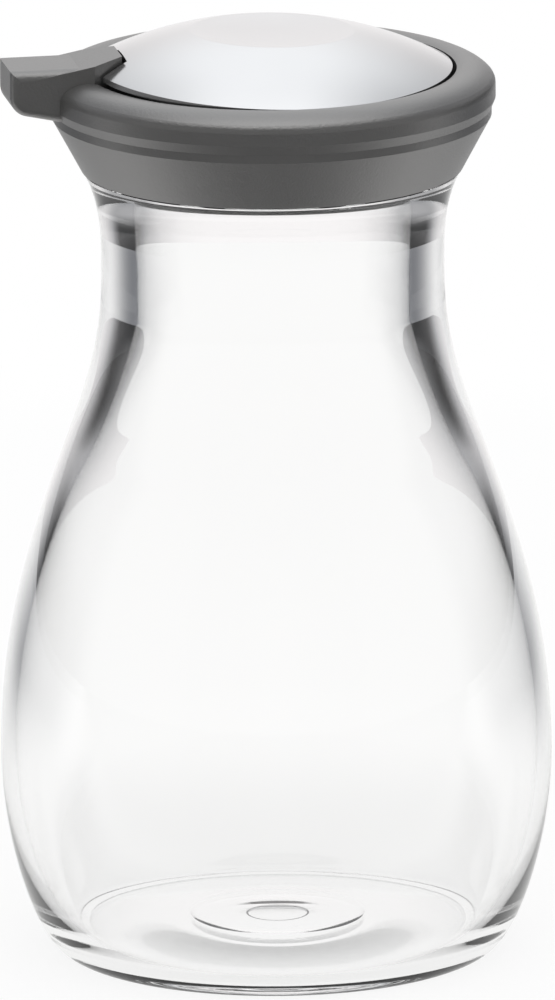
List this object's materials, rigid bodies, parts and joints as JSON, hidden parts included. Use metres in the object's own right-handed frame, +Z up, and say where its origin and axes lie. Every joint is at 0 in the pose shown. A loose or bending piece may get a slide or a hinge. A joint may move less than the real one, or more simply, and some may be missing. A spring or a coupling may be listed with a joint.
{
  "type": "sauce bottle",
  "caption": "Clear pear-shaped sauce bottle with a grey screw cap: a domed steel press lid on a hinged lever opens a sprung valve, and sauce runs out through a short closed beak.",
  "frame": {"origin": "centre of the bottle's foot, on the plane that it stands on", "axes": "+Z up along the bottle's axis, -X towards the pouring beak, hinge pin along Y on the +X side"},
  "size_m": [0.068, 0.068, 0.1157],
  "materials": {
    "clear_plastic": "clear, polished",
    "grey_plastic": "satin, fine moulded grain",
    "black_plastic": "satin",
    "white_plastic": "satin",
    "gasket_rubber": "soft silicone",
    "seal_rubber": "matt",
    "satin_steel": "satin",
    "plain_steel": "drawn wire"
  },
  "bodies": {
    "bottle": {"bottle": "clear_plastic"},
    "gasket": {"neck_gasket": "gasket_rubber"},
    "cap": {"screw_collar": "grey_plastic", "spout_ring": "grey_plastic", "seat_plate": "white_plastic", "plate_oring": "seal_rubber", "gland_oring": "seal_rubber", "gland_ring": "white_plastic", "vent_valve": "gasket_rubber", "hinge_pin": "plain_steel", "return_spring": "plain_steel"},
    "valve": {"valve_stem": "white_plastic", "valve_seal": "seal_rubber", "spring_cup": "white_plastic"},
    "button": {"button_lever": "black_plastic", "button_cap": "satin_steel"}
  },
  "joints": [
    {"name": "cap_rise", "type": "slide", "parent": "bottle", "child": "gasket", "axis": [0, 0, 1], "range_m": [0, 0.00326]},
    {"name": "cap_turn", "type": "hinge", "parent": "gasket", "child": "cap", "pos_m": [0, 0, 0.1052], "axis": [0, 0, 1], "range_deg": [0, 172]},
    {"name": "button_press", "type": "hinge", "parent": "cap", "child": "button", "pos_m": [0.0185, 0, 0.1093], "axis": [0, -1, 0], "range_deg": [0, 3.7], "stiffness_Nm_per_rad": 0.57, "springref_deg": -3.72},
    {"name": "valve_slide", "type": "slide", "parent": "cap", "child": "valve", "axis": [0, 0, -1], "range_m": [0, 0.0012], "deforming": ["return_spring"]}
  ],
  "couplings": [
    {"joint": "cap_rise", "follows": "cap_turn", "m_per_rad": 0.0010823},
    {"joint": "valve_slide", "follows": "button_press", "m_per_rad": 0.0185}
  ]
}
